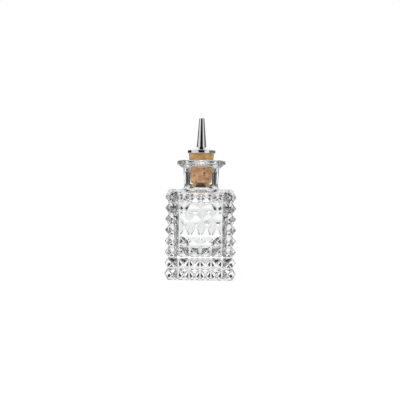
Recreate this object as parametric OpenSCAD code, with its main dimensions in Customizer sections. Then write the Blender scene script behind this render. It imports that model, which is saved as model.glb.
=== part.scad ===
// Square pressed-glass dash bottle with diamond-point studs, a scalloped label
// panel and a flared lip, closed by a tapered cork that carries a metal dasher.
// Millimetres, +Z up, origin at the centre of the base. The front faces -Y.

/* [Studded body] */
// Side of one square stud, and so the spacing of the rows and columns
stud_pitch = 8.52; // [7.5:0.01:10.5]
// Studs across each face
stud_columns = 6; // [6:1:8]
// Studs up each face
stud_rows = 8; // [7:1:11]
// Height of a stud's point above the grooves round it
stud_height = 2.9; // [1.2:0.1:3.4]
// Width that each corner cuts off the outermost studs
corner_cut = 0.7; // [0:0.1:1.5]
// Height of the base under the lowest row of whole studs
foot_band = 0.65; // [0.4:0.05:2.5]
// Height of the shoulder over the top row of whole studs
shoulder_band = 2.2; // [1:0.1:3]
// How far the foot's and the shoulder's edges stand in front of the grooves
edge_out = 0.45; // [0.2:0.05:1]
// How far the rounding of the foot reaches in under the body
foot_round = 1.3; // [0.8:0.1:3]
// Height of that rounding
foot_rise = 0.8; // [0.5:0.1:2]
// How far the rounding of the shoulder's edge reaches in
shoulder_round = 1.6; // [0.8:0.1:3]
// Height of that rounding
shoulder_drop = 1.4; // [0.5:0.1:2]
// Rise of the shoulder from its edge to the foot of the neck
shoulder_rise = 0.5; // [0.2:0.1:2]

/* [Label panel] */
// Cells that the panel covers across and up
panel_cells = 4; // [2:1:4]
// Rows of studs left under the panel
panel_rows_below = 3; // [1:1:3]
// Radius of the scallop cut out of each corner
panel_scallop = 8.4; // [5:0.1:10]
// How far the panel stands in front of the studs' points
panel_proud = 0.15; // [0.1:0.05:0.6]

/* [Cavity] */
// Glass under the cavity
floor_thick = 17.6; // [8:0.1:26]
// Glass behind the grooves near the foot
wall_low = 4.4; // [3.5:0.1:10]
// Glass behind the grooves half way up
wall_mid = 4; // [3:0.1:10]
// Glass behind the grooves under the shoulder
wall_top = 1.7; // [1.5:0.1:5]
// Height at which the cavity starts to widen
waist_z = 42; // [32:0.5:52]
// Glass over the cavity at the shoulder
ceiling_thick = 2.6; // [1.8:0.1:5]
// Radius of the cavity's upright corners
cavity_corner = 4; // [3.6:0.1:8]
// Depth of the shallow push-up in the base
base_recess = 0.8; // [0.3:0.1:2]
// Diameter of that push-up at the base
base_recess_d = 36; // [20:0.5:42]

/* [Neck and lip] */
// Outside diameter of the neck at its foot
neck_foot_d = 27.2; // [25.5:0.1:30]
// Outside diameter of the neck under the flare
neck_top_d = 28.7; // [26.5:0.1:32]
// Height of the neck from the shoulder's edge to the flare
neck_h = 16.6; // [12:0.1:24]
// Radius of the fillet between the neck and the shoulder
neck_fillet = 2.2; // [1:0.1:4]
// Inside diameter of the neck
neck_bore_d = 20.5; // [20:0.1:22.5]
// Diameter of the lip
lip_d = 38.8; // [38:0.1:46]
// Height of the flare from the neck to the lip's edge
flare_h = 2.9; // [2:0.1:5]
// Height of the lip above the flare
lip_h = 3.7; // [3:0.1:6]
// Radius of the lip's upper edge
lip_edge = 1.6; // [0.6:0.1:2]
// Diameter of the shallow dish in the top of the lip
mouth_d = 34.8; // [30:0.1:35.2]
// Depth of the dish
mouth_dish = 3.6; // [2.5:0.1:5]
// Height of the tapered seat under the dish that grips the cork
seat_h = 2.4; // [1:0.1:4]
// Radius of the flare where the neck's bore opens into the cavity
bore_flare = 5.0; // [3:0.1:6]

/* [Cork] */
// Length of the cork
cork_h = 25.1; // [22:0.1:34]
// Diameter of the cork's lower end
cork_foot_d = 16.4; // [14:0.1:17.4]
// Diameter that the cork gains with each millimetre of height
cork_taper = 0.165; // [0.1:0.005:0.19]
// Depth of the cork below the top of the lip
cork_depth = 17.6; // [10:0.1:20]
// Rounding of the cork's lower edge
cork_edge = 0.7; // [0.2:0.1:1.5]
// Diameter of the hole in the cork's lower end
cork_hole_d = 8; // [7.4:0.1:9.5]
// Depth of that hole, up to the end of the shank tube
cork_hole_h = 3.5; // [1:0.1:6]

/* [Dasher] */
// Diameter of the pressed cap on the cork
cap_d = 22.6; // [22.2:0.1:27]
// Thickness of the cap's metal
cap_wall = 0.7; // [0.4:0.05:0.9]
// How far the cap's skirt reaches down over the cork
cap_skirt = 1.9; // [1:0.1:4]
// Rise of the cap's dome
cap_dome = 2.2; // [0.4:0.1:3]
// Diameter of the flat top of the dome
cap_flat_d = 10; // [9.5:0.1:14]
// Rounding of the cap's upper edge
cap_edge = 0.6; // [0.2:0.1:1.2]
// Length of the nozzle above the cap
nozzle_h = 23.3; // [18:0.1:34]
// Outside diameter of the nozzle at its foot
nozzle_foot_d = 7.9; // [7.8:0.1:9]
// Outside diameter of the nozzle at its tip
nozzle_tip_d = 4.2; // [4:0.1:6]
// Thickness of the nozzle's metal
nozzle_wall = 0.5; // [0.3:0.05:0.55]
// Outside diameter of the shank tube
shank_d = 6.3; // [5.6:0.1:6.4]
// Thickness of the shank tube's metal
shank_wall = 0.4; // [0.3:0.05:0.6]
// How far the shank tube reaches up into the nozzle
shank_socket = 2.2; // [1:0.1:2.4]
// Length of the flow insert
insert_h = 3.0; // [2:0.1:6]
// Diameter of the flow insert's hole
insert_hole_d = 2.0; // [1.2:0.1:2.6]

/* [Fits] */
// Radial gap between the cork and its seat in the mouth
seat_clearance = 0.08; // [0.04:0.01:0.1]
// Radial gap between parts that are pressed or soldered together
join_gap = 0.05; // [0.02:0.01:0.08]

/* [Hidden] */
round_fn = 96;
corner_fn = 32;
arc_steps = 6;
eps = 0.01;

// Levels of the bottle, from the base up
studs_w = stud_columns * stud_pitch / 2;
half_w = studs_w - corner_cut;
point_w = half_w + stud_height;
edge_w = half_w + edge_out;
stud_slope = 2 * stud_height / stud_pitch;
corner_w = (half_w + stud_slope * studs_w) / (1 + stud_slope);
studs_top = foot_band + stud_rows * stud_pitch;
body_h = studs_top + shoulder_band;
flare_z = body_h + neck_h;
lip_z = flare_z + flare_h;
mouth_z = lip_z + lip_h;
ceiling_z = body_h - ceiling_thick;
seat_top = mouth_z - mouth_dish;
seat_foot = seat_top - seat_h;

// Levels of the stopper
cork_z = mouth_z - cork_depth;
cork_top = cork_z + cork_h;
shank_foot = cork_z + cork_hole_h;
cap_foot = cork_top - cap_skirt;
cap_roof = cork_top + join_gap;
cap_shelf = cap_roof + cap_wall;
cap_top = cap_shelf + cap_dome;
shank_top = cap_top + shank_socket;
nozzle_top = cap_top + nozzle_h;

// Radii that follow a taper
function cork_r(z) = cork_foot_d / 2 + (z - cork_z) * cork_taper / 2;
function nozzle_r(z) = (nozzle_foot_d + (nozzle_tip_d - nozzle_foot_d) * (z - cap_top) / nozzle_h) / 2;
function nozzle_bore(z) = nozzle_r(z) - nozzle_wall;

// Points of an elliptical arc round a centre, from one angle to another
function arc(c, rx, ry, from, to) = [
    for (i = [0 : arc_steps])
        let (a = from + (to - from) * i / arc_steps)
            [c[0] + rx * cos(a), c[1] + ry * sin(a)]
];
function mirrored(points) = [for (i = [len(points) - 1 : -1 : 0]) [-points[i][0], points[i][1]]];

// Right-hand side of the body's elevation, from the foot's edge over each stud's
// point and the grooves between them to the shoulder's edge
side_points = concat(
    arc([edge_w - foot_round, foot_rise], foot_round, foot_rise, -90, 0),
    [for (step = [1 : 2 * stud_rows - 1])
        [half_w + (step % 2) * stud_height, foot_band + step * stud_pitch / 2]],
    arc([edge_w - shoulder_round, body_h - shoulder_drop], shoulder_round, shoulder_drop, 0, 90)
);

// One side of the body's plan, from its left corner to the last stud's point
plan_side = concat(
    [[-corner_w, -corner_w]],
    [for (step = [1 : 2 * stud_columns - 1])
        [step * stud_pitch / 2 - studs_w, -half_w - (step % 2) * stud_height]]
);

module elevation_prism() {
    rotate([90, 0, 0])
        linear_extrude(2 * point_w + 2, center = true)
            polygon(concat(side_points, mirrored(side_points)));
}

module plan_prism() {
    linear_extrude(body_h + 1)
        polygon([for (turn = [0 : 3], p = plan_side)
            [p[0] * cos(90 * turn) - p[1] * sin(90 * turn),
             p[0] * sin(90 * turn) + p[1] * cos(90 * turn)]]);
}

// Where the three zigzag prisms cross, the studs are left as square pyramids
module studded_block() {
    intersection() {
        plan_prism();
        elevation_prism();
        rotate([0, 0, 90]) elevation_prism();
    }
}

// Flat panel over the middle studs of the front, with a scallop at each corner
module label_panel() {
    side = panel_cells * stud_pitch;
    proud = stud_height + panel_proud;
    sink = 1;
    translate([0, -half_w + sink, foot_band + panel_rows_below * stud_pitch + side / 2])
        rotate([90, 0, 0])
            linear_extrude(proud + sink)
                difference() {
                    square(side, center = true);
                    for (x = [-1, 1], y = [-1, 1])
                        translate([x, y] * side / 2)
                            circle(r = panel_scallop, $fn = round_fn);
                }
}

// Shoulder rise, neck, flare and lip, turned about the bottle's axis
module neck_and_lip() {
    foot_r = neck_foot_d / 2;
    top_r = neck_top_d / 2;
    lip_r = lip_d / 2;
    rise_r = foot_r + neck_fillet;
    under_edge = 0.7;
    rotate_extrude($fn = round_fn)
        polygon(concat(
            [[0, ceiling_z], [edge_w - shoulder_round, ceiling_z], [edge_w - shoulder_round, body_h]],
            arc([rise_r, body_h + shoulder_rise + neck_fillet], neck_fillet, neck_fillet, 270, 180),
            [[top_r, flare_z], [lip_r - under_edge, lip_z]],
            arc([lip_r - under_edge, lip_z + under_edge], under_edge, under_edge, -60, 0),
            arc([lip_r - lip_edge, mouth_z - lip_edge], lip_edge, lip_edge, 0, 90),
            [[0, mouth_z]]
        ));
}

// Rounded square slice of the cavity at one height
module cavity_slice(z, half, corner) {
    for (x = [-1, 1], y = [-1, 1])
        translate([x * (half - corner), y * (half - corner), z])
            cylinder(r = corner, h = eps, $fn = corner_fn);
}

// Room inside the body: a rounded floor, a waist, and a wider room above
module body_cavity() {
    low = half_w - wall_low;
    mid = half_w - wall_mid;
    top = half_w - wall_top;
    floor_round = 2;
    ceiling_round = 3.5;
    hull() {
        cavity_slice(floor_thick, low - floor_round, cavity_corner - floor_round);
        cavity_slice(floor_thick + floor_round * 0.3, low - floor_round * 0.3, cavity_corner - floor_round * 0.3);
        cavity_slice(floor_thick + floor_round, low, cavity_corner);
        cavity_slice(waist_z, mid, cavity_corner);
    }
    hull() {
        cavity_slice(waist_z, mid, cavity_corner);
        cavity_slice(ceiling_z - ceiling_round, top, cavity_corner);
        cavity_slice(ceiling_z - ceiling_round * 0.3, top - ceiling_round * 0.3, cavity_corner - ceiling_round * 0.3);
        cavity_slice(ceiling_z - eps, top - ceiling_round, cavity_corner - ceiling_round);
    }
}

// Dish, cork seat, neck bore and its flare into the cavity
module neck_bore() {
    bore_r = neck_bore_d / 2;
    mouth_r = mouth_d / 2;
    flare_start = body_h + shoulder_rise + bore_flare * 0.9;
    throat_r = cork_r(seat_top) + seat_clearance;
    dish_angle = atan2(mouth_dish, mouth_r - throat_r);
    dish_edge = 0.5;
    edge_x = mouth_r + dish_edge * tan(dish_angle / 2);
    open_angle = 60;
    rotate_extrude($fn = round_fn)
        polygon(concat(
            [[0, mouth_z + 1], [edge_x, mouth_z + 1]],
            arc([edge_x, mouth_z - dish_edge], dish_edge, dish_edge, 90, 90 + dish_angle),
            [[throat_r, seat_top], [cork_r(seat_foot) + seat_clearance, seat_foot], [bore_r, seat_foot - 3]],
            arc([bore_r + bore_flare, flare_start], bore_flare, bore_flare, 180, 180 + open_angle),
            [[bore_r + bore_flare * 1.9, ceiling_z - 1], [0, ceiling_z - 1]]
        ));
}

// Shallow push-up that leaves the bottle standing on its rim
module base_push_up() {
    translate([0, 0, -eps])
        cylinder(h = base_recess + eps, d1 = base_recess_d, d2 = base_recess_d * 0.7, $fn = round_fn);
}

module glass_bottle() {
    color([0.86, 0.93, 0.93, 0.45])
        difference() {
            union() {
                studded_block();
                label_panel();
                neck_and_lip();
            }
            body_cavity();
            neck_bore();
            base_push_up();
        }
}

// Tapered cork, drilled for the shank tube, with a wider hole under the tube
module cork_stopper() {
    bore = shank_d / 2 + join_gap;
    hole_r = cork_hole_d / 2;
    color([0.80, 0.62, 0.43])
        rotate_extrude($fn = round_fn)
            polygon([
                [bore, shank_foot],
                [hole_r, shank_foot],
                [hole_r, cork_z],
                [cork_r(cork_z) - cork_edge, cork_z],
                [cork_r(cork_z + cork_edge), cork_z + cork_edge],
                [cork_r(cork_top), cork_top],
                [bore, cork_top]
            ]);
}

// Pressed cap that the cork's head is glued into
module flange_cap() {
    r = cap_d / 2;
    hole = shank_d / 2 + join_gap;
    flat_r = cap_flat_d / 2;
    color([0.80, 0.81, 0.83])
        rotate_extrude($fn = round_fn)
            polygon(concat(
                [[r - cap_wall, cap_foot], [r, cap_foot]],
                arc([r - cap_edge, cap_shelf - cap_edge], cap_edge, cap_edge, 0, 90),
                [[flat_r, cap_top], [hole, cap_top], [hole, cap_top - cap_wall], [flat_r, cap_top - cap_wall],
                 [r - cap_wall, cap_roof]]
            ));
}

// Tapered nozzle that stands on the cap
module spout_nozzle() {
    tip_edge = 0.15;
    color([0.80, 0.81, 0.83])
        rotate_extrude($fn = round_fn)
            polygon([
                [nozzle_bore(cap_top), cap_top],
                [nozzle_r(cap_top), cap_top],
                [nozzle_r(nozzle_top - tip_edge), nozzle_top - tip_edge],
                [nozzle_r(nozzle_top) - tip_edge, nozzle_top],
                [nozzle_bore(nozzle_top), nozzle_top]
            ]);
}

// Straight tube from the hole in the cork up into the nozzle, with eased ends
module shank_tube() {
    r = shank_d / 2;
    bore = r - shank_wall;
    ease = 0.1;
    color([0.72, 0.73, 0.75])
        rotate_extrude($fn = round_fn)
            polygon([
                [bore, shank_foot],
                [r - ease, shank_foot],
                [r, shank_foot + ease],
                [r, shank_top - ease],
                [r - ease, shank_top],
                [bore, shank_top]
            ]);
}

// Moulded plug with a small hole that meters the dashes
module dash_insert() {
    top = shank_top + insert_h;
    hole = insert_hole_d / 2;
    lead_in = 0.8;
    color([0.92, 0.92, 0.90])
        rotate_extrude($fn = round_fn)
            polygon([
                [hole + lead_in, shank_top],
                [nozzle_bore(shank_top) - join_gap, shank_top],
                [nozzle_bore(top) - join_gap, top],
                [hole, top],
                [hole, shank_top + lead_in]
            ]);
}

glass_bottle();
cork_stopper();
flange_cap();
spout_nozzle();
shank_tube();
dash_insert();
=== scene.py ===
import math

import bpy
import numpy as np
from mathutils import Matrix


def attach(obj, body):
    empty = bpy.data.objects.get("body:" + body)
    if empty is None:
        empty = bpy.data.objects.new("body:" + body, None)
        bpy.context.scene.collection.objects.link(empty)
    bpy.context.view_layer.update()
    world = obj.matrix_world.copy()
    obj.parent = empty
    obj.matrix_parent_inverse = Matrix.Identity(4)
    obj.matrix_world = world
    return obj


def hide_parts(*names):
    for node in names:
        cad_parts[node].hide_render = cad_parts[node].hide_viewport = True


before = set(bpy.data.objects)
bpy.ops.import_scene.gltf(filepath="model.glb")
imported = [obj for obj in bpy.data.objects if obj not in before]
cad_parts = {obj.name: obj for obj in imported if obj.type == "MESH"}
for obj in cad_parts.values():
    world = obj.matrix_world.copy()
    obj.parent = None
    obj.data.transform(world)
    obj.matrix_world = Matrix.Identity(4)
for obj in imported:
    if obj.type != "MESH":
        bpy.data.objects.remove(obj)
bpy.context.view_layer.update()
print("frame loaded")

mm = 0.001  # sizes in the dictionaries are millimetres unless they say otherwise


# Camera: level with the middle of the body, rolled a little as the photograph is
shot = {
    "distance": 900.0,       # from the bottle's axis
    "pictureSide": 320.0,    # width and height of the square picture at the axis
    "eyeHeight": 62.6,
    "sideShift": -0.68,      # the axis stands a pixel right of the picture's middle
    "rollDegrees": -0.7,
    "sensor": 36.0,
    "clipNear": 10.0, "clipFar": 50000.0,
}


def setCamera(spec):
    lens = bpy.data.cameras.new("shotLens")
    lens.sensor_width = spec["sensor"]
    lens.lens = spec["sensor"] * spec["distance"] / spec["pictureSide"]
    lens.clip_start = spec["clipNear"] * mm
    lens.clip_end = spec["clipFar"] * mm
    camera = bpy.data.objects.new("shotCamera", lens)
    camera.location = (spec["sideShift"] * mm, -spec["distance"] * mm, spec["eyeHeight"] * mm)
    camera.rotation_euler = (math.pi / 2, math.radians(spec["rollDegrees"]), 0)
    bpy.context.scene.collection.objects.link(camera)
    bpy.context.scene.camera = camera


setCamera(shot)
print("camera set")


# A socket that takes part in sums, so node maths reads as an expression
class Wire:
    def __init__(self, shop, socket):
        self.shop = shop
        self.socket = socket

    def math(self, operation, other=0.0, third=None):
        inputs = {0: self, 1: other}
        if third is not None:
            inputs[2] = third
        return self.shop.make("ShaderNodeMath", {"operation": operation}, inputs)

    def __add__(self, other):
        return self.math("ADD", other)

    def __sub__(self, other):
        return self.math("SUBTRACT", other)

    def __rsub__(self, other):
        return self.shop.make("ShaderNodeMath", {"operation": "SUBTRACT"}, {0: other, 1: self})

    def __mul__(self, other):
        return self.math("MULTIPLY", other)

    def __truediv__(self, other):
        return self.math("DIVIDE", other)

    def __gt__(self, other):
        return self.math("GREATER_THAN", other)

    __radd__ = __add__
    __rmul__ = __mul__


# Builds the nodes of one tree
class Shop:
    def __init__(self, tree):
        self.tree = tree
        tree.nodes.clear()

    def node(self, kind, settings=None, inputs=None):
        made = self.tree.nodes.new(kind)
        for name, value in (settings or {}).items():
            setattr(made, name, value)
        for name, value in (inputs or {}).items():
            if isinstance(value, Wire):
                self.tree.links.new(value.socket, made.inputs[name])
            else:
                made.inputs[name].default_value = value
        return made

    def make(self, kind, settings=None, inputs=None, output=0):
        return Wire(self, self.node(kind, settings, inputs).outputs[output])

    def split(self, vector):
        parts = self.node("ShaderNodeSeparateXYZ", None, {0: vector})
        return [Wire(self, part) for part in parts.outputs]

    def mixColour(self, factor, first, second):
        colours = {6: first, 7: second}
        for index, value in colours.items():
            colours[index] = value if isinstance(value, Wire) else (*value, 1.0)
        return self.make("ShaderNodeMix", {"data_type": "RGBA"}, {0: factor, **colours}, 2)

    def mapRange(self, value, low, high, toLow=0.0, toHigh=1.0):
        ranges = {0: value, 1: low, 2: high, 3: toLow, 4: toHigh}
        return self.make("ShaderNodeMapRange", {"interpolation_type": "SMOOTHSTEP"}, ranges)

    def within(self, value, edge, softness):  # 1 below an edge, 0 above it
        return self.mapRange(value, edge - softness, edge + softness, 1.0, 0.0)

    def beyond(self, value, edge, softness):  # 0 below an edge, 1 above it
        return self.mapRange(value, edge - softness, edge + softness)

    def noise(self, vector, scale, detail=2.0, roughness=0.5):
        inputs = {"Vector": vector, "Scale": scale, "Detail": detail, "Roughness": roughness}
        return self.make("ShaderNodeTexNoise", None, inputs)

    def bump(self, height, distance, normal=None):
        inputs = {"Height": height, "Strength": 1.0, "Distance": distance}
        if normal is not None:
            inputs["Normal"] = normal
        return self.make("ShaderNodeBump", None, inputs)


# A material with its output node and the piece's own coordinates
def newMaterial(name):
    material = bpy.data.materials.new(name)
    material.use_nodes = True
    shop = Shop(material.node_tree)
    output = shop.node("ShaderNodeOutputMaterial")
    coordinates = shop.node("ShaderNodeTexCoord")
    return material, shop, output, Wire(shop, coordinates.outputs["Object"])


def finishPrincipled(shop, output, inputs):
    surface = shop.make("ShaderNodeBsdfPrincipled", None, inputs)
    shop.tree.links.new(surface.socket, output.inputs["Surface"])


# Clear pressed glass: fire-polished, with the faint waves that the mould leaves
glassFinish = {
    "ior": 1.5,
    "waveScale": 90.0,       # waves of about a centimetre
    "waveRoughness": 0.45,
    "waveHeight": 0.02,
    "chillScale": 900.0,     # fine chill marks of about a millimetre
    "chillHeight": 0.0012,
    "smudgeScale": 45.0, "smudgeDetail": 3.0, "smudgeRoughness": 0.6,
    "smudgeFrom": 0.52, "smudgeTo": 0.8,
    "clean": 0.0, "smudged": 0.02,  # roughness
    "tintScale": 30.0, "tint": (0.985, 0.99, 0.99), "clear": (1.0, 1.0, 1.0),
}


def makeGlass(spec):
    material, shop, output, place = newMaterial("clearGlass")
    waves = shop.noise(place, spec["waveScale"], roughness=spec["waveRoughness"])
    chill = shop.noise(place, spec["chillScale"])
    waved = shop.bump(waves, spec["waveHeight"] * mm)
    touched = shop.noise(place, spec["smudgeScale"], spec["smudgeDetail"], spec["smudgeRoughness"])
    tinted = shop.noise(place, spec["tintScale"])
    finishPrincipled(shop, output, {
        "Base Color": shop.mixColour(tinted, spec["tint"], spec["clear"]),
        "Roughness": shop.mapRange(touched, spec["smudgeFrom"], spec["smudgeTo"],
                                   spec["clean"], spec["smudged"]),
        "IOR": spec["ior"],
        "Transmission Weight": 1.0,
        "Normal": shop.bump(chill, spec["chillHeight"] * mm, waved),
    })
    return material


# Natural cork: golden above the mouth, redder and more worn inside the neck, with painted shade
# inside its hole
corkFinish = {
    "headColour": (0.62, 0.395, 0.165),
    "headShade": (0.46, 0.265, 0.100),
    "footColour": (0.76, 0.430, 0.165),
    "footShade": (0.50, 0.220, 0.080),
    # painted shade: the colour inside the cork's hole, standing in for the shade there
    "holeShadeColour": (0.16, 0.085, 0.060),
    "grainColour": (0.27, 0.140, 0.055),
    "poreColour": (0.055, 0.022, 0.011),
    "changeFrom": 87.0, "changeTo": 92.0,  # heights between the foot's colours and the head's
    "cloudScale": 170.0, "cloudDetail": 4.0, "cloudRoughness": 0.6,
    "cloudFrom": 0.36, "cloudTo": 0.62,
    "grainScale": 620.0, "grainDetail": 3.0, "grainRoughness": 0.65,
    "fleckFrom": 0.56, "fleckTo": 0.72, "fleckStrength": 0.75,
    "poreScale": 460.0,      # pores of a millimetre or less, about two millimetres apart
    "poreSquash": (0.8, 0.8, 1.25),
    "wanderScale": 500.0, "wander": 0.25,  # how far a pore's outline strays from round
    "poreChoice": 0.88,      # a cell whose random number is higher has a pore
    "poreSize": 0.13, "poreSpread": 0.2, "poreFrom": -0.02, "poreTo": 0.10,
    "headThinning": 0.6,     # by how much the pores fade towards the head
    "streakAngle": -78.0,    # degrees round the cork, where its pores lie closest
    "streakFrom": 8.3, "streakTo": 8.7, "streakChance": 0.5,
    # radius and softness of the painted shade inside the hole
    "holeEdge": 4.4, "holeSoftness": 0.1,
    "roughness": 0.82, "roughnessSpread": 0.1, "roughFrom": 0.3, "roughTo": 0.8,
    "specular": 0.3,
    "bumpHeight": 0.10, "cloudRelief": 0.6, "fleckRelief": 0.5, "poreRelief": 1.4,
}


def makeCork(spec):
    material, shop, output, place = newMaterial("naturalCork")
    x, y, height = shop.split(place)
    head = shop.mapRange(height, spec["changeFrom"] * mm, spec["changeTo"] * mm)
    cloud = shop.noise(place, spec["cloudScale"], spec["cloudDetail"], spec["cloudRoughness"])
    tone = shop.mapRange(cloud, spec["cloudFrom"], spec["cloudTo"])
    headColour = shop.mixColour(tone, spec["headShade"], spec["headColour"])
    footColour = shop.mixColour(tone, spec["footShade"], spec["footColour"])
    plain = shop.mixColour(head, footColour, headColour)
    # grains: small darker flecks all over
    grain = shop.noise(place, spec["grainScale"], spec["grainDetail"], spec["grainRoughness"])
    fleck = shop.mapRange(grain, spec["fleckFrom"], spec["fleckTo"], 0.0, spec["fleckStrength"])
    flecked = shop.mixColour(fleck, plain, spec["grainColour"])
    # pores: short dark slots lying round the cork, closest together along one streak
    flat = shop.make("ShaderNodeMapping", None, {"Vector": place, "Scale": spec["poreSquash"]})
    warp = shop.noise(place, spec["wanderScale"])
    spacing = {"Vector": flat, "Scale": spec["poreScale"]}
    cells = shop.node("ShaderNodeTexVoronoi", {"feature": "F1"}, spacing)
    near = Wire(shop, cells.outputs["Distance"]) + (warp - 0.5) * spec["wander"]
    pick = shop.make("ShaderNodeSeparateColor", None, {0: Wire(shop, cells.outputs["Color"])})
    angle = math.radians(spec["streakAngle"])
    along = x * math.cos(angle) + y * math.sin(angle)
    streak = shop.mapRange(along, spec["streakFrom"] * mm, spec["streakTo"] * mm)
    chosen = (pick + streak * spec["streakChance"]) > spec["poreChoice"]
    size = pick * spec["poreSpread"] + spec["poreSize"]
    slots = shop.mapRange(near - size, spec["poreFrom"], spec["poreTo"], 1.0, 0.0) * chosen
    pores = slots * (1 - head * spec["headThinning"])
    spotted = shop.mixColour(pores, flecked, spec["poreColour"])
    # painted shade: within the hole's radius the colour turns dark, for the shade inside the hole
    away = (x * x + y * y).math("SQRT")
    shadedHole = shop.within(away, spec["holeEdge"] * mm, spec["holeSoftness"] * mm)
    relief = cloud * spec["cloudRelief"] - fleck * spec["fleckRelief"] - pores * spec["poreRelief"]
    finishPrincipled(shop, output, {
        "Base Color": shop.mixColour(shadedHole, spotted, spec["holeShadeColour"]),
        "Roughness": shop.mapRange(grain, spec["roughFrom"], spec["roughTo"],
                                   spec["roughness"] - spec["roughnessSpread"],
                                   spec["roughness"] + spec["roughnessSpread"]),
        "Specular IOR Level": spec["specular"],
        "Normal": shop.bump(relief, spec["bumpHeight"] * mm),
    })
    return material


# Bright plated metal with fine polishing lines round it and faint finger marks
metalFinish = {
    "colour": (0.90, 0.90, 0.91), "dull": (0.78, 0.78, 0.80),
    "polished": 0.035, "marked": 0.13,  # roughness
    "tubeMore": 0.08,        # the tube is drawn and not polished
    "lineStretch": (0.05, 0.05, 1.0), "lineScale": 2600.0, "lineHeight": 0.0006,
    "markScale": 160.0, "markDetail": 4.0, "markRoughness": 0.62, "markFrom": 0.5, "markTo": 0.78,
}


def makeMetal(name, spec, more=0.0):
    material, shop, output, place = newMaterial(name)
    lines = shop.make("ShaderNodeMapping", None, {"Vector": place, "Scale": spec["lineStretch"]})
    polish = shop.noise(lines, spec["lineScale"])
    marks = shop.noise(place, spec["markScale"], spec["markDetail"], spec["markRoughness"])
    dirt = shop.mapRange(marks, spec["markFrom"], spec["markTo"])
    finishPrincipled(shop, output, {
        "Base Color": shop.mixColour(dirt, spec["colour"], spec["dull"]),
        "Metallic": 1.0,
        "Roughness": dirt * (spec["marked"] - spec["polished"]) + (spec["polished"] + more),
        "Normal": shop.bump(polish, spec["lineHeight"] * mm),
    })
    return material


# Plain moulded plastic of the flow insert
insertFinish = {
    "colour": (0.80, 0.80, 0.77), "shade": (0.70, 0.70, 0.66),
    "cloudScale": 700.0, "cloudDetail": 3.0, "cloudFrom": 0.2, "cloudTo": 0.8,
    "smooth": 0.37, "matt": 0.53,  # roughness
    "bumpHeight": 0.004,
}


def makePlastic(spec):
    material, shop, output, place = newMaterial("insertPlastic")
    cloud = shop.noise(place, spec["cloudScale"], spec["cloudDetail"])
    finishPrincipled(shop, output, {
        "Base Color": shop.mixColour(cloud, spec["colour"], spec["shade"]),
        "Roughness": shop.mapRange(cloud, spec["cloudFrom"], spec["cloudTo"],
                                   spec["smooth"], spec["matt"]),
        "Normal": shop.bump(cloud, spec["bumpHeight"] * mm),
    })
    return material


clearGlass = makeGlass(glassFinish)
naturalCork = makeCork(corkFinish)
brightMetal = makeMetal("brightMetal", metalFinish)
tubeMetal = makeMetal("tubeMetal", metalFinish, metalFinish["tubeMore"])
insertPlastic = makePlastic(insertFinish)
print("materials made")


# Points of an arc, and of a line without its start
def arcPoints(centre, radii, fromDegrees, toDegrees, steps):
    points = []
    for i in range(steps + 1):
        a = math.radians(fromDegrees + (toDegrees - fromDegrees) * i / steps)
        points.append((centre[0] + radii[0] * math.cos(a), centre[1] + radii[1] * math.sin(a)))
    return points


def linePoints(start, end, steps):
    return [(start[0] + (end[0] - start[0]) * i / steps, start[1] + (end[1] - start[1]) * i / steps)
            for i in range(1, steps + 1)]


# Faces between two closed rings of points that start at two numbers
def ringQuads(low, high, count):
    faces = []
    for j in range(count):
        n = (j + 1) % count
        faces.append((low + j, low + n, high + n, high + j))
    return faces


def meshObject(name, points, faces, material, sharpDegrees):
    mesh = bpy.data.meshes.new(name)
    mesh.from_pydata([(x * mm, y * mm, z * mm) for x, y, z in points], [], faces)
    mesh.materials.append(material)
    mesh.shade_smooth()
    mesh.set_sharp_from_angle(angle=math.radians(sharpDegrees))
    mesh.update()
    made = bpy.data.objects.new(name, mesh)
    bpy.context.scene.collection.objects.link(made)
    return made


# Adds a point close to each end of an outline's longer lines, so that shading bends only there
def supported(outline, close=0.08, longer=0.5):
    fuller = []
    for i, (r, z) in enumerate(outline):
        nextR, nextZ = outline[(i + 1) % len(outline)]
        fuller.append((r, z))
        reach = math.hypot(nextR - r, nextZ - z)
        if reach > longer:
            for s in (close / reach, 1 - close / reach):
                fuller.append((r + (nextR - r) * s, z + (nextZ - z) * s))
    return fuller


# A solid of revolution from a closed outline of (radius, height), anticlockwise beside the axis
def turnedPiece(name, outline, segments, material, sharpDegrees=40.0):
    outline = supported(outline)
    points = []
    for r, z in outline:
        for k in range(segments):
            a = 2 * math.pi * k / segments
            points.append((r * math.cos(a), r * math.sin(a), z))
    faces = []
    for i in range(len(outline)):
        faces += ringQuads(i * segments, (i + 1) % len(outline) * segments, segments)
    return meshObject(name, points, faces, material, sharpDegrees)


# Runs a geometry-nodes tree on an object and keeps its result as a plain mesh
def applyNodes(target, tree, values):
    modifier = target.modifiers.new("shape", "NODES")
    modifier.node_group = tree
    for item in tree.interface.items_tree:
        if item.item_type == "SOCKET" and item.in_out == "INPUT" and item.name in values:
            modifier[item.identifier] = values[item.name]
    keepResult(target)


def keepResult(target):
    graph = bpy.context.evaluated_depsgraph_get()
    plain = bpy.data.meshes.new_from_object(target.evaluated_get(graph), depsgraph=graph)
    target.modifiers.clear()
    plain.name = target.data.name
    target.data = plain


def newNodesTree(name, inputs):
    tree = bpy.data.node_groups.new(name, "GeometryNodeTree")
    tree.interface.new_socket("Geometry", in_out="INPUT", socket_type="NodeSocketGeometry")
    for label in inputs:
        tree.interface.new_socket(label, in_out="INPUT", socket_type="NodeSocketFloat")
    tree.interface.new_socket("Geometry", in_out="OUTPUT", socket_type="NodeSocketGeometry")
    shop = Shop(tree)
    source = shop.node("NodeGroupInput")
    entry = {socket.name: Wire(shop, socket) for socket in source.outputs if socket.name}
    return tree, shop, entry


def closeNodesTree(shop, geometry, material):
    whole = shop.make("GeometryNodeRealizeInstances", None, {0: geometry})
    painted = shop.make("GeometryNodeSetMaterial", None, {"Geometry": whole, "Material": material})
    shop.node("NodeGroupOutput", None, {0: painted})


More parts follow.
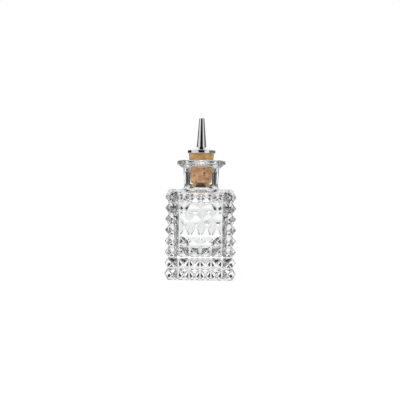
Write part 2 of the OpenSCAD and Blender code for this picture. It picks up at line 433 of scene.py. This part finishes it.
# The glass bottle, ring by ring from the middle of its base, over the outside, in at the mouth and
# down to the cavity's floor. A ring is a square with rounded corners, or a circle.
bottle = {
    "pitch": 8.52, "columns": 6, "rows": 8,
    "half": 24.86,           # to the grooves between the studs
    "studHeight": 2.9, "edgeOut": 0.45,
    "tipSharpness": 0.96, "ridgeSoftness": 0.06,
    "halfStudSteps": 6,
    "stepEase": 0.6,         # how far the steps gather at a stud's groove and point
    "keepClear": 0.02,       # in pitches: steps this close to an edge are left out
    "footBand": 0.65, "footRound": 1.3, "footRise": 0.8,
    "shoulderBand": 2.2, "shoulderRound": 1.6, "shoulderDrop": 1.4, "shoulderRise": 0.5,
    "shoulderEase": 0.7,
    "cornerRound": 0.7,
    "pushUp": 0.8, "pushUpRadius": 18.0, "pushUpRings": (0.15, 0.35, 0.55, 0.72, 0.86, 0.95, 1.0),
    "neckFoot": 13.6, "neckTop": 14.35, "neckHeight": 16.6, "neckFillet": 2.2,
    "flareHeight": 2.9,
    "flareBend": ((0.0, -0.8), (0.12, -0.3), (0.45, 0.15)),  # out and up from the neck's top
    "lipRadius": 19.4, "lipHeight": 3.7, "lipEdge": 1.6, "lipUnder": 0.8, "lipUnderFrom": -50,
    "mouthRadius": 17.4, "mouthDish": 3.6, "dishEdge": 0.5, "dishFoot": 0.3,
    "seatTop": 9.43, "seatFoot": 9.24, "seatHeight": 2.4, "boreRadius": 10.25, "boreEase": 3.0,
    "boreFlare": 5.0, "boreFlareRise": 0.9, "ceiling": 2.6,
    "cavityTop": 23.16, "cavityMid": 21.0, "cavityLow": 20.46,
    "cavityCorner": 4.0, "cornerLoss": 1.0,
    "wallRings": 16, "swellFrom": 0.35, "swell": 1.35,
    "topBend": 3.5, "floorBend": 2.0, "floor": 17.6, "floorDip": 0.25, "floorMiddle": 0.3,
    "panelCells": 4, "panelRowsBelow": 3, "panelScallop": 8.4, "scallopSteps": 24,
    "panelProud": 0.15, "panelEdge": 0.35, "panelSunk": 1.2,
    "panelSharp": 35.0, "glassSharp": 60.0, "joinedSharp": 50.0,  # degrees
}
bottle["slope"] = bottle["studHeight"] / (bottle["pitch"] / 2)
bottle["cornerHalf"] = ((bottle["half"] + bottle["slope"] * bottle["pitch"] * bottle["columns"] / 2)
                        / (1 + bottle["slope"]))  # where the slopes of two sides meet
bottle["studsTop"] = bottle["footBand"] + bottle["rows"] * bottle["pitch"]
bottle["bodyTop"] = bottle["studsTop"] + bottle["shoulderBand"]


# Places across one stud, closer together at its grooves and its point
def studStations(steps, ease):
    eased = []
    for i in range(steps):
        s = i / steps
        eased.append(0.5 * (s + ease * (3 * s ** 2 - 2 * s ** 3 - s)))
    return eased + [1 - s for s in reversed(eased[1:] + [0.5])]


# Height of a stud at a place across and up, from 0 in a groove to 1 at the point
def studRise(spec, u, v):
    q, soft = spec["tipSharpness"], spec["ridgeSoftness"]
    a, b = (0.5 - math.asin(q * math.cos(2 * math.pi * w)) / (2 * math.asin(q)) for w in (u, v))
    near = max(soft - abs(a - b), 0) / soft
    return max(min(a, b) - near ** 3 * soft / 6, 0)


# Place between a groove and a point at which a stud has risen to a share of its height
def placeOfRise(spec, rise):
    q = spec["tipSharpness"]
    return math.acos(min(1.0, math.sin((0.5 - rise) * 2 * math.asin(q)) / q)) / (2 * math.pi)


def bottleRings(spec):
    half, top = spec["half"], spec["bodyTop"]
    flareZ = top + spec["neckHeight"]
    lipZ = flareZ + spec["flareHeight"]
    mouthZ = lipZ + spec["lipHeight"]
    rings = []  # (height, half width, corner radius, stud row or None)

    def circles(points):
        rings.extend((z, r, r, None) for r, z in points)

    def squares(points, corner):
        rings.extend((z, h, corner, None) for h, z in points)

    # base and foot
    push = spec["pushUpRadius"]
    circles([(r * push, spec["pushUp"] * (1 - r ** 4)) for r in spec["pushUpRings"]])
    edge = half + spec["edgeOut"]
    footInner = edge - spec["footRound"]
    for s in (0.4, 0.8):
        corner = push * (1 - s) + spec["cornerRound"] * s
        rings.append((0.0, push + (footInner - push) * s, corner, None))
    last = spec["rows"]
    footArc = (spec["footRound"], spec["footRise"])
    for h, z in arcPoints((footInner, spec["footRise"]), footArc, -90, 0, 6):
        row = placeOfRise(spec, (h - half) / spec["studHeight"]) if h > half else None
        rings.append((z, half if h > half else h, spec["cornerRound"], row))
    # studs: the lowest and the highest row run on to the foot's and the shoulder's edge
    stations = studStations(spec["halfStudSteps"], spec["stepEase"])
    cut = placeOfRise(spec, spec["edgeOut"] / spec["studHeight"])
    footTip = spec["footBand"] + spec["pitch"] / 2
    topTip = spec["studsTop"] - spec["pitch"] / 2
    topEdge = top - spec["shoulderDrop"]
    for v in (row + s for row in range(last) for s in stations):
        if min(v, last - v) < cut + spec["keepClear"]:
            continue
        z = spec["footBand"] + v * spec["pitch"]
        if v < 0.5:
            z = spec["footRise"] + (footTip - spec["footRise"]) * (v - cut) / (0.5 - cut)
        if v > last - 0.5:
            z = topEdge + (topTip - topEdge) * (last - v - cut) / (0.5 - cut)
        rings.append((z, half, spec["cornerRound"], v))
    # shoulder
    shoulderInner = edge - spec["shoulderRound"]
    shoulderArc = (spec["shoulderRound"], spec["shoulderDrop"])
    for h, z in arcPoints((shoulderInner, topEdge), shoulderArc, 0, 90, 7):
        row = last - placeOfRise(spec, (h - half) / spec["studHeight"]) if h > half else None
        rings.append((z, half if h > half else h, spec["cornerRound"], row))
    fillet = spec["neckFillet"]
    riseR, filletZ = spec["neckFoot"] + fillet, top + spec["shoulderRise"] + fillet
    for s in (0.2, 0.4, 0.6, 0.8):
        wide = shoulderInner + (riseR - shoulderInner) * s
        corner = spec["cornerRound"] + (riseR - spec["cornerRound"]) * s ** spec["shoulderEase"]
        rings.append((top + spec["shoulderRise"] * s, wide, min(corner, wide), None))
    # neck, flare, lip and mouth
    lip, under, edgeRound = spec["lipRadius"], spec["lipUnder"], spec["lipEdge"]
    bend = [(spec["neckTop"] + out, flareZ + up) for out, up in spec["flareBend"]]
    circles(arcPoints((riseR, filletZ), (fillet, fillet), 270, 180, 8))
    circles(linePoints((spec["neckFoot"], filletZ), bend[0], 6))
    circles(bend[1:])
    circles(linePoints(bend[-1], (lip - under, lipZ), 4))
    circles(arcPoints((lip - under, lipZ + under), (under, under), spec["lipUnderFrom"], 0, 4))
    circles(arcPoints((lip - edgeRound, mouthZ - edgeRound), (edgeRound, edgeRound), 0, 90, 7))
    seatTopZ = mouthZ - spec["mouthDish"]
    seatFootZ = seatTopZ - spec["seatHeight"]
    turn = spec["dishEdge"]
    fall = math.atan2(spec["mouthDish"], spec["mouthRadius"] - spec["seatTop"])
    edgeX = spec["mouthRadius"] + turn * math.tan(fall / 2)
    circles(arcPoints((edgeX, mouthZ - turn), (turn, turn), 90, 90 + math.degrees(fall), 6))
    dishStart = (edgeX - turn * math.sin(fall), mouthZ - turn + turn * math.cos(fall))
    dishEnd = (spec["seatTop"] + spec["dishFoot"], seatTopZ + spec["dishFoot"])
    circles(linePoints(dishStart, dishEnd, 4))
    # seat, bore and flare into the cavity
    circles(linePoints((spec["seatTop"], seatTopZ), (spec["seatFoot"], seatFootZ), 3))
    bore, flare, boreZ = spec["boreRadius"], spec["boreFlare"], seatFootZ - spec["boreEase"]
    for s in (0.25, 0.5, 0.75, 1.0):
        ease = 3 * s ** 2 - 2 * s ** 3
        wide = spec["seatFoot"] + (bore - spec["seatFoot"]) * ease
        circles([(wide, seatFootZ - spec["boreEase"] * s)])
    flareTop = top + spec["shoulderRise"] + flare * spec["boreFlareRise"]
    circles(linePoints((bore, boreZ), (bore, flareTop), 3)[:-1])
    circles(arcPoints((bore + flare, flareTop), (flare, flare), 180, 240, 9))
    # ceiling, walls and floor of the cavity
    ceilingZ = top - spec["ceiling"]
    startR, startZ = bore + flare * 0.5, flareTop - flare * 0.866  # where that arc ends
    topBend, lowBend = spec["topBend"], spec["floorBend"]
    wallTop, wallLow = spec["cavityTop"], spec["cavityLow"]
    lessRound = spec["cavityCorner"] - spec["cornerLoss"]
    for s in (0.25, 0.5, 0.75, 1.0):
        wide = startR + (wallTop - topBend - startR) * s
        corner = startR + (lessRound - startR) * s
        z = startZ + (ceilingZ - startZ) * (1 - (1 - s) ** 2)
        rings.append((z, wide, min(corner, wide), None))
    highZ, lowZ = ceilingZ - topBend, spec["floor"] + lowBend
    topArc = arcPoints((wallTop - topBend, highZ), (topBend, topBend), 90, 0, 8)
    squares(topArc[1:], spec["cavityCorner"])
    for i in range(1, spec["wallRings"] + 1):
        z = highZ + (lowZ - highZ) * i / spec["wallRings"]
        rings.append((z, wallWidth(spec, (z - lowZ) / (highZ - lowZ)), spec["cavityCorner"], None))
    lowArc = arcPoints((wallLow - lowBend, lowZ), (lowBend, lowBend), 0, -90, 6)
    squares(lowArc[1:], lessRound)
    for s in (0.75, 0.5, 0.25, 0.1):
        wide = (wallLow - lowBend) * s
        corner = min(spec["cavityCorner"], wide) * (2 - s) / 2
        rings.append((spec["floor"] - spec["floorDip"] * (1 - s), wide, corner, None))
    return rings


# Half width of the cavity from its floor (0) to its ceiling (1)
def wallWidth(spec, s):
    lower = spec["cavityLow"] + (spec["cavityMid"] - spec["cavityLow"]) * s
    out = max(0.0, (s - spec["swellFrom"]) / (1 - spec["swellFrom"]))
    upper = spec["swell"] * out ** 1.5 - (spec["swell"] - 1) * out ** 3
    return lower + (spec["cavityTop"] - spec["cavityMid"]) * upper


# One ring: the plan's places on a square of side 2, drawn in to the rounded corners
def ringPoints(half, corner, plan):
    points = []
    inner = half - corner
    for px, py in plan:
        x, y = px * half, py * half
        cx = max(-inner, min(inner, x))
        cy = max(-inner, min(inner, y))
        away = math.hypot(x - cx, y - cy) or 1.0
        points.append((cx + (x - cx) / away * corner, cy + (y - cy) / away * corner))
    return points


quarterTurns = [(1, 0), (0, 1), (-1, 0), (0, -1)]  # cosine and sine


def buildBottle(spec, material):
    stations = studStations(spec["halfStudSteps"], spec["stepEase"])
    middle, cornerHalf = spec["columns"] / 2, spec["cornerHalf"]
    first = middle - cornerHalf / spec["pitch"]
    inside = [column + s for column in range(spec["columns"]) for s in stations]
    low, high = first + spec["keepClear"], spec["columns"] - first - spec["keepClear"]
    across = [first] + [u for u in inside if low < u < high]
    plan, facing, studU = [], [], []
    for c, s in quarterTurns:  # front, right, back, left
        for u in across:
            x, y = (u - middle) * spec["pitch"] / cornerHalf, -1.0
            plan.append((x * c - y * s, x * s + y * c))
            facing.append((s, -c, 0.0))
            studU.append(u)
    count = len(plan)
    rings = bottleRings(spec)
    points = [(0.0, 0.0, spec["pushUp"])]
    weights, valuesU, valuesV, normals = [0.0], [0.0], [0.0], [(0.0, 0.0, 0.0)]
    for z, half, corner, row in rings:
        if row is None:
            placed = ringPoints(half, corner, plan)
        else:  # the studs keep their pitch, and the corner moves in and out with them
            edge = half + spec["studHeight"] * studRise(spec, first, row)
            placed = []
            for (px, py), (fx, fy, _) in zip(plan, facing):
                x, y = (max(-edge, min(edge, p * cornerHalf)) for p in (px, py))
                placed.append((fx * half if fx else x, fy * half if fy else y))
        for j, (x, y) in enumerate(placed):
            points.append((x, y, z))
            weights.append(0.0 if row is None else 1.0)
            valuesU.append(studU[j])
            valuesV.append(row or 0.0)
            normals.append(facing[j])
    points.append((0.0, 0.0, spec["floor"] - spec["floorMiddle"]))
    weights.append(0.0)
    valuesU.append(0.0)
    valuesV.append(0.0)
    normals.append((0.0, 0.0, 0.0))
    faces = []
    last = len(points) - 1
    for j in range(count):
        n = (j + 1) % count
        faces.append((0, 1 + n, 1 + j))
        faces.append((last, last - count + j, last - count + n))
    for i in range(len(rings) - 1):
        rowNow = rings[i][3]
        for j, (a, b, c, d) in enumerate(ringQuads(1 + i * count, 1 + (i + 1) * count, count)):
            if rowNow is None:
                faces.append((a, b, c, d))
                continue
            # the split follows the stud's ridge
            rising = (studU[j] % 1.0 < 0.5) == (rowNow % 1.0 < 0.5)
            faces += [(a, b, c), (a, c, d)] if rising else [(a, b, d), (b, c, d)]
    made = meshObject("glassBody", points, faces, material, spec["glassSharp"])
    for label, data in (("studU", valuesU), ("studV", valuesV), ("studWeight", weights)):
        layer = made.data.attributes.new(label, "FLOAT", "POINT")
        layer.data.foreach_set("value", np.array(data, np.float32))
    layer = made.data.attributes.new("studFacing", "FLOAT_VECTOR", "POINT")
    layer.data.foreach_set("vector", np.array(normals, np.float32).ravel())
    return made


# Nodes that raise the square studs: each is the lower of two rounded zigzags, across and up
def studNodes(material):
    tree, shop, entry = newNodesTree("raiseStuds", ("Stud Height", "Sharpness", "Ridge Softness"))

    def attribute(label, kind="FLOAT"):
        return shop.make("GeometryNodeInputNamedAttribute", {"data_type": kind}, {"Name": label})

    def zigzag(place):
        swing = (place * (2 * math.pi)).math("COSINE") * entry["Sharpness"]
        return 0.5 - swing.math("ARCSINE") / (entry["Sharpness"].math("ARCSINE") * 2.0)

    across, up = zigzag(attribute("studU")), zigzag(attribute("studV"))
    lower = across.math("SMOOTH_MIN", up, entry["Ridge Softness"])
    height = lower.math("MAXIMUM", 0.0) * entry["Stud Height"] * attribute("studWeight")
    facing = attribute("studFacing", "FLOAT_VECTOR")
    offset = shop.make("ShaderNodeVectorMath", {"operation": "SCALE"}, {0: facing, 3: height})
    raised = shop.make("GeometryNodeSetPosition", None, {0: entry["Geometry"], "Offset": offset})
    closeNodesTree(shop, raised, material)
    return tree


# The label panel: a flat plate with a scallop at each corner and softened edges
def buildPanel(spec, material):
    side = spec["panelCells"] * spec["pitch"] / 2
    centreZ = spec["footBand"] + spec["panelRowsBelow"] * spec["pitch"] + side
    scallop, edge = spec["panelScallop"], spec["panelEdge"]
    front = -(spec["half"] + spec["studHeight"] + spec["panelProud"])
    back = -(spec["half"] - spec["panelSunk"])

    def outline(inset):
        loop = []
        radius = scallop + inset
        for c, s in quarterTurns:
            arc = arcPoints((side, -side), (radius, radius), 180, 90, spec["scallopSteps"])
            # the arc ends where it meets the straight sides, which an inset moves in as well
            arc = [(min(x, side - inset), max(z, -side + inset)) for x, z in arc]
            loop += [(x * c - z * s, x * s + z * c) for x, z in arc]
        return loop

    layers = [(0.0, back), (0.0, front + edge)]
    for a in (math.pi / 6, math.pi / 3):
        layers.append((edge * (1 - math.cos(a)), front + edge * (1 - math.sin(a))))
    layers += [(edge, front)]
    points, faces = [], []
    for inset, y in layers:
        points += [(x, y, centreZ + z) for x, z in outline(inset)]
    count = len(outline(0.0))
    for i in range(len(layers) - 1):
        faces += ringQuads(i * count, (i + 1) * count, count)
    faces.append(tuple(range(count - 1, -1, -1)))
    faces.append(tuple(range((len(layers) - 1) * count, len(layers) * count)))
    return meshObject("labelPanel", points, faces, material, spec["panelSharp"])


glassBottle = buildBottle(bottle, clearGlass)
applyNodes(glassBottle, studNodes(clearGlass), {
    "Stud Height": bottle["studHeight"] * mm,
    "Sharpness": bottle["tipSharpness"],
    "Ridge Softness": bottle["ridgeSoftness"],
})
print("glass body raised:", len(glassBottle.data.polygons), "faces")

labelPanel = buildPanel(bottle, clearGlass)
union = glassBottle.modifiers.new("panel", "BOOLEAN")
union.operation = "UNION"
union.solver = "EXACT"
union.object = labelPanel
keepResult(glassBottle)
bpy.data.objects.remove(labelPanel)
glassBottle.data.shade_smooth()
glassBottle.data.set_sharp_from_angle(angle=math.radians(bottle["joinedSharp"]))
for label in ("studU", "studV", "studWeight", "studFacing"):
    if label in glassBottle.data.attributes:
        glassBottle.data.attributes.remove(glassBottle.data.attributes[label])
print("label panel joined:", len(glassBottle.data.polygons), "faces")


# Cork: turned, then pitted by nodes
cork = {
    "foot": 76.61, "height": 25.1, "footRadius": 8.2, "taper": 0.0825, "edge": 0.7,
    "bore": 3.2, "hole": 4.0, "holeDepth": 3.5, "holeBreak": 0.1,
    "segments": 160, "rows": 70,
    "pitDepth": 0.22, "pitScale": 330.0, "pitSquash": (0.6, 0.6, 1.5),
    "pitMiddle": 0.10, "pitRim": 0.34,
    "pitClusters": 210.0, "pitChoice": 0.52,  # pits lie where this noise is higher
    "waver": 0.05, "waverScale": 240.0, "waverDetail": 3.0,
    "holeMargin": 0.3,       # nothing is pitted this close to the hole
}


def buildCork(spec, material):
    foot, edge, hole, broken = spec["foot"], spec["edge"], spec["hole"], spec["holeBreak"]
    top, roof = foot + spec["height"], foot + spec["holeDepth"]

    def radius(z):
        return spec["footRadius"] + (z - foot) * spec["taper"]

    outline = [(spec["bore"], roof), (hole, roof)]
    outline += linePoints((hole, roof), (hole, foot + broken), 6)
    outline += linePoints((hole + broken, foot), (spec["footRadius"] - edge, foot), 8)
    outline += arcPoints((spec["footRadius"] - edge, foot + edge), (edge, edge), -90, 0, 4)[1:-1]
    for i in range(spec["rows"] + 1):
        z = foot + edge + (spec["height"] - edge) * i / spec["rows"]
        outline.append((radius(z), z))
    outline += linePoints((radius(top), top), (spec["bore"], top), 6)
    return turnedPiece("corkBody", outline, spec["segments"], material)


def pitNodes(spec, material):
    tree, shop, entry = newNodesTree("pitCork", ("Pit Depth", "Pit Scale", "Waver", "Hole Reach"))
    place = shop.make("GeometryNodeInputPosition")
    normal = shop.make("GeometryNodeInputNormal")
    multiply, length = {"operation": "MULTIPLY"}, {"operation": "LENGTH"}
    flat = shop.make("ShaderNodeVectorMath", multiply, {0: place, 1: spec["pitSquash"]})
    spacing = {"Vector": flat, "Scale": entry["Pit Scale"]}
    cells = shop.make("ShaderNodeTexVoronoi", {"feature": "F1"}, spacing)
    chosen = shop.noise(place, spec["pitClusters"], 1.0) > spec["pitChoice"]
    pits = shop.mapRange(cells, spec["pitMiddle"], spec["pitRim"], 1.0, 0.0) * chosen
    waver = shop.noise(place, spec["waverScale"], spec["waverDetail"]) * entry["Waver"]
    across = shop.make("ShaderNodeVectorMath", multiply, {0: place, 1: (1.0, 1.0, 0.0)})
    distance = shop.make("ShaderNodeVectorMath", length, {0: across}, 1)
    depth = (pits * entry["Pit Depth"] + waver) * (distance > entry["Hole Reach"])
    offset = shop.make("ShaderNodeVectorMath", {"operation": "SCALE"}, {0: normal, 3: depth * -1.0})
    moved = shop.make("GeometryNodeSetPosition", None, {0: entry["Geometry"], "Offset": offset})
    closeNodesTree(shop, moved, material)
    return tree


corkStopper = buildCork(cork, naturalCork)
applyNodes(corkStopper, pitNodes(cork, naturalCork), {
    "Pit Depth": cork["pitDepth"] * mm,
    "Pit Scale": cork["pitScale"],
    "Waver": cork["waver"] * mm,
    "Hole Reach": (cork["hole"] + cork["holeMargin"]) * mm,
})
print("cork made")


# Metal pieces of the dasher
dasher = {
    "capRadius": 11.3, "capWall": 0.7, "capSkirt": 1.9, "capDome": 2.2, "capFlat": 5.0,
    "capEdge": 0.6, "capRim": 0.12, "capHoleBreak": 0.1,
    "domeStraight": 0.75,    # the rest of the dome's rise eases into its flat top
    "joinGap": 0.05,
    "nozzleHeight": 23.3, "nozzleFoot": 3.95, "nozzleTip": 2.1, "nozzleWall": 0.5,
    "shankRadius": 3.15, "shankWall": 0.4, "shankSocket": 2.2,
    "segments": 160,
}
dasher["corkTop"] = cork["foot"] + cork["height"]
dasher["capShelf"] = dasher["corkTop"] + dasher["joinGap"] + dasher["capWall"]
dasher["capTop"] = dasher["capShelf"] + dasher["capDome"]


def buildCap(spec, material):
    r, wall, edge = spec["capRadius"], spec["capWall"], spec["capEdge"]
    foot, shelf, top = spec["corkTop"] - spec["capSkirt"], spec["capShelf"], spec["capTop"]
    hole = spec["shankRadius"] + spec["joinGap"]
    rim, broken, straight = spec["capRim"], spec["capHoleBreak"], spec["domeStraight"]

    def slope(inset, drop, steps):  # from the cap's edge, a shallow cone that eases into a flat top
        points, start = [], r - inset
        for s in steps:
            eased = straight * s + (1 - straight) * math.sin(s * math.pi / 2)
            across = start + (spec["capFlat"] - start) * s
            points.append((across, shelf - drop + (top - shelf) * eased))
        return points

    outline = arcPoints((r - wall + rim, foot + rim), (rim, rim), -180, -90, 3)
    outline += arcPoints((r - rim, foot + rim), (rim, rim), -90, 0, 3)
    outline += arcPoints((r - edge, shelf - edge), (edge, edge), 0, 90, 7)
    outline += slope(edge, 0.0, [i / 12 for i in range(1, 13)])
    outline += [(hole + broken, top), (hole, top - broken), (hole, top - wall)]
    outline += slope(wall, wall, [1 - i / 8 for i in range(9)])
    return turnedPiece("flangeCap", outline, spec["segments"], material)


def buildNozzle(spec, material):
    foot, tip, wall = spec["nozzleFoot"], spec["nozzleTip"], spec["nozzleWall"]
    low, high = spec["capTop"], spec["capTop"] + spec["nozzleHeight"]
    lip = wall / 2
    outline = [(foot - wall, low), (foot, low)]
    outline += linePoints((foot, low), (tip, high - lip), 8)
    outline += arcPoints((tip - lip, high - lip), (lip, lip), 0, 180, 8)[1:]
    outline += linePoints((tip - wall, high - lip), (foot - wall, low), 8)[:-1]
    return turnedPiece("spoutNozzle", outline, spec["segments"], material)


def buildShank(spec, material):
    r, wall = spec["shankRadius"], spec["shankWall"]
    low = cork["foot"] + cork["holeDepth"]
    high = spec["capTop"] + spec["shankSocket"]
    lip = wall / 2
    outline = arcPoints((r - lip, low + lip), (lip, lip), -180, 0, 6)
    outline += linePoints((r, low + lip), (r, high - lip), 8)
    outline += arcPoints((r - lip, high - lip), (lip, lip), 0, 180, 6)[1:]
    outline += linePoints((r - wall, high - lip), (r - wall, low + lip), 8)[:-1]
    return turnedPiece("shankTube", outline, spec["segments"], material)


flangeCap = buildCap(dasher, brightMetal)
spoutNozzle = buildNozzle(dasher, brightMetal)
shankTube = buildShank(dasher, tubeMetal)
print("dasher made")

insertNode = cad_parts["dash_insert"]
insertNode.data.materials.clear()
insertNode.data.materials.append(insertPlastic)

for piece, body, node, slot in (
    (glassBottle, "bottle", "glass_bottle", "clear_glass"),
    (corkStopper, "stopper", "cork_stopper", "natural_cork"),
    (flangeCap, "stopper", "flange_cap", "bright_metal"),
    (spoutNozzle, "stopper", "spout_nozzle", "bright_metal"),
    (shankTube, "stopper", "shank_tube", "bright_metal"),
):
    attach(piece, body)
    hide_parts(node)


# Studio. The camera and dull surfaces see white all round. Glass and metal see soft boxes and dark
# flags in it, as cut glass is photographed. lightPath gives the camera's rays, the rays that glass
# passes on, those that glass or metal mirrors, and light that reaches a dull surface through glass.
def lightPath(shop):
    path = shop.node("ShaderNodeLightPath")
    names = ("Is Camera Ray", "Is Glossy Ray", "Is Transmission Ray", "Diffuse Depth")
    isCamera, isGlossy, isThrough, bounced = (Wire(shop, path.outputs[name]) for name in names)
    fromDull = bounced > 0.5
    passed = isThrough * (1 - isCamera) * (1 - fromDull)
    mirrored = isGlossy * (1 - isThrough) * (1 - isCamera) * (1 - fromDull)
    return isCamera, passed, mirrored, isThrough * fromDull


# The floor: plain white, but glass passes it on as a bright card before the bottle and a bright
# strip behind it, with a painted shadow of the bottle where that strip comes near it. Reaches are
# from the axis, sides are degrees from straight behind.
floorCloth = {
    "side": 8000.0, "drop": 0.02,
    "cloudScale": 3.0, "shade": (0.93, 0.93, 0.93), "white": (0.95, 0.95, 0.95), "roughness": 0.5,
    "glow": 1.04, "shadow": 0.22,  # the share of the floor that takes shade
    "nearReach": 60.0, "cardReach": 118.0, "reachSoftness": 0.1,  # softness as a share of the reach
    # near the bottle, the strip behind it is passed on as a painted shadow of the bottle
    "behindSide": 15.0, "behindSoftness": 3.0, "shadowBehindLevel": 0.68, "besideNearLevel": 0.1,
    "stripSide": 40.0, "stripSoftness": 4.0, "stripLevel": 0.91, "besideLevel": 0.02,
    "cardSide": 103.0, "cardSoftness": 5.0, "cardNearLevel": 2.2, "cardFarLevel": 1.2,
}


def buildFloor(spec):
    material, shop, output, place = newMaterial("whiteFloor")
    cloud = shop.noise(place, spec["cloudScale"])
    shade = shop.make("ShaderNodeBsdfDiffuse", None, {
        "Color": shop.mixColour(cloud, spec["shade"], spec["white"]),
        "Roughness": spec["roughness"]})
    x, y = shop.split(place)[:2]
    away = (x * x + y * y).math("SQRT")
    off = (x.math("ARCTAN2", y) * (180 / math.pi)).math("ABSOLUTE")

    near, card = (shop.within(away, spec[name] * mm, spec[name] * mm * spec["reachSoftness"])
                  for name in ("nearReach", "cardReach"))
    front = shop.beyond(off, spec["cardSide"], spec["cardSoftness"]) * card
    strip = shop.within(off, spec["stripSide"], spec["stripSoftness"])
    behind = shop.within(off, spec["behindSide"], spec["behindSoftness"])
    # painted shadow: near the bottle the strip behind it is passed on darker than further out,
    # lighter straight behind and black further round in the strip
    foot = behind * spec["shadowBehindLevel"] + (1 - strip) * spec["besideNearLevel"]
    rest = strip * spec["stripLevel"] + (1 - strip) * spec["besideLevel"]
    cardLevel = near * (spec["cardNearLevel"] - spec["cardFarLevel"]) + spec["cardFarLevel"]
    level = (near * foot + (1 - near) * rest) * (1 - front) + front * cardLevel
    passed = lightPath(shop)[1]
    glow = shop.make("ShaderNodeEmission", None, {
        "Color": (1, 1, 1, 1), "Strength": spec["glow"] * (1 - passed) + passed * level})
    surface = shop.make("ShaderNodeMixShader", None, {
        0: 1 - spec["shadow"] * (1 - passed), 1: shade, 2: glow})
    shop.tree.links.new(surface.socket, output.inputs["Surface"])
    side = spec["side"] / 2
    corners = [(-side, -side, 0), (side, -side, 0), (side, side, 0), (-side, side, 0)]
    floor = meshObject("floor", corners, [(0, 1, 2, 3)], material, 30.0)
    floor.location.z = -spec["drop"] * mm


# The world that glass passes on: a white field behind with a waist, dark flags beside it and soft
# boxes further round. Sides are degrees from straight behind, heights are the direction's z.
throughWorld = {
    "fieldLow": 19.0, "fieldWaist": 11.0, "fieldHigh": 20.0, "fieldSoftness": 2.0,
    "fieldLevel": 1.08,
    "waistFrom": 0.20, "waistFromSoftness": 0.03, "waistTo": 0.50, "waistToSoftness": 0.05,
    "boxSide": 78.0, "boxSoftness": 8.0, "boxLowLevel": 0.6, "boxHighLevel": 0.13,
    "topFrom": 0.82, "topSoftness": 0.04, "topLevel": 1.0,
}
# The world that glass and metal mirror: soft boxes left and right of a dark camera side, white
# behind. Sides are degrees from the camera. A box is its start, end, softness and level.
mirrorWorld = {
    "boxLeft": (22.0, 87.0, 3.0, 0.72),
    "boxRight": (23.0, 63.0, 4.0, 0.78),
    "sideRight": (63.0, 170.0, 4.0, 0.17),
    "lean": 55.0, "backLean": 90.0,  # degrees that the edges move round by straight overhead
    "backLeft": 141.0, "backRight": 165.0, "backSoftness": 5.0,
    "raisedSide": 125.0, "raisedSideSoftness": 10.0, "raisedFrom": 0.27, "raisedSoftness": 0.05,
    "overFrom": 0.875, "overSoftness": 0.075, "overLevel": 0.75,
    "darkest": 0.012,
}
# The world that lights dull surfaces: even, a little stronger from the front left and from above
fillWorld = {"level": 0.95, "throughGlass": 1.4, "keyLean": 0.38, "keyFrom": (0.75, 0.5, 0.4)}


def buildWorld(through, mirror, fill):
    world = bpy.data.worlds.new("studioWorld")
    bpy.context.scene.world = world
    world.use_nodes = True
    shop = Shop(world.node_tree)
    output = shop.node("ShaderNodeOutputWorld")
    x, y, z = shop.split(shop.make("ShaderNodeTexCoord"))
    fromBack = x.math("ARCTAN2", y) * (180 / math.pi)  # positive to the right, 180 at the camera
    off = fromBack.math("ABSOLUTE")
    fromFront = 180 - off

    low = shop.within(z, through["waistFrom"], through["waistFromSoftness"])
    up = shop.beyond(z, through["waistTo"], through["waistToSoftness"])
    high = shop.beyond(z, through["topFrom"], through["topSoftness"])
    waist = through["fieldWaist"]
    reach = low * (through["fieldLow"] - waist) + up * (through["fieldHigh"] - waist) + waist
    field = shop.within(off - reach, 0.0, through["fieldSoftness"]) * through["fieldLevel"]
    boxLevel = low * (through["boxLowLevel"] - through["boxHighLevel"]) + through["boxHighLevel"]
    boxes = shop.beyond(off, through["boxSide"], through["boxSoftness"]) * boxLevel
    seen = (field + boxes) * (1 - high) + high * through["topLevel"]

    left = shop.within(fromBack, 0.0, 1.0)
    right = 1 - left
    leaning = fromFront - z * mirror["lean"]

    def box(name, half):
        start, end, softness, level = mirror[name]
        lit = shop.beyond(leaning, start, softness) * shop.within(leaning, end, softness)
        return lit * half * level

    turned = fromFront - z * mirror["backLean"]
    backLeft = shop.beyond(turned, mirror["backLeft"], mirror["backSoftness"])
    backRight = shop.beyond(fromFront, mirror["backRight"], mirror["backSoftness"])
    back = backLeft * left + backRight * right
    raised = (shop.beyond(z, mirror["raisedFrom"], mirror["raisedSoftness"])
              * shop.beyond(fromFront, mirror["raisedSide"], mirror["raisedSideSoftness"]))
    back = back * (1 - raised) + raised
    boxes = box("boxLeft", left) + box("boxRight", right) + box("sideRight", right)
    over = shop.beyond(z, mirror["overFrom"], mirror["overSoftness"])
    mirrored = boxes * (1 - back) + back + mirror["darkest"]
    mirrored = mirrored * (1 - over) + over * mirror["overLevel"]

    isCamera, passed, isMirror, litThrough = lightPath(shop)
    keyLeft, keyFront, keyAbove = fill["keyFrom"]
    even = fill["level"] + fill["keyLean"] * (z * keyAbove - y * keyFront - x * keyLeft)
    even = even * (litThrough * (fill["throughGlass"] - 1) + 1)
    dull = (1 - isCamera) * (1 - isMirror) * (1 - passed)
    strength = isCamera + passed * seen + isMirror * mirrored + dull * even
    light = shop.make("ShaderNodeBackground", None, {"Color": (1, 1, 1, 1), "Strength": strength})
    shop.tree.links.new(light.socket, output.inputs["Surface"])


buildFloor(floorCloth)
buildWorld(throughWorld, mirrorWorld, fillWorld)
print("studio set")

scene = bpy.context.scene
scene.view_settings.view_transform = "Standard"
scene.cycles.max_bounces = 40  # light passes many faces of cut glass
scene.cycles.glossy_bounces = 24
scene.cycles.transmission_bounces = 32
scene.cycles.diffuse_bounces = 4

bpy.context.view_layer.update()
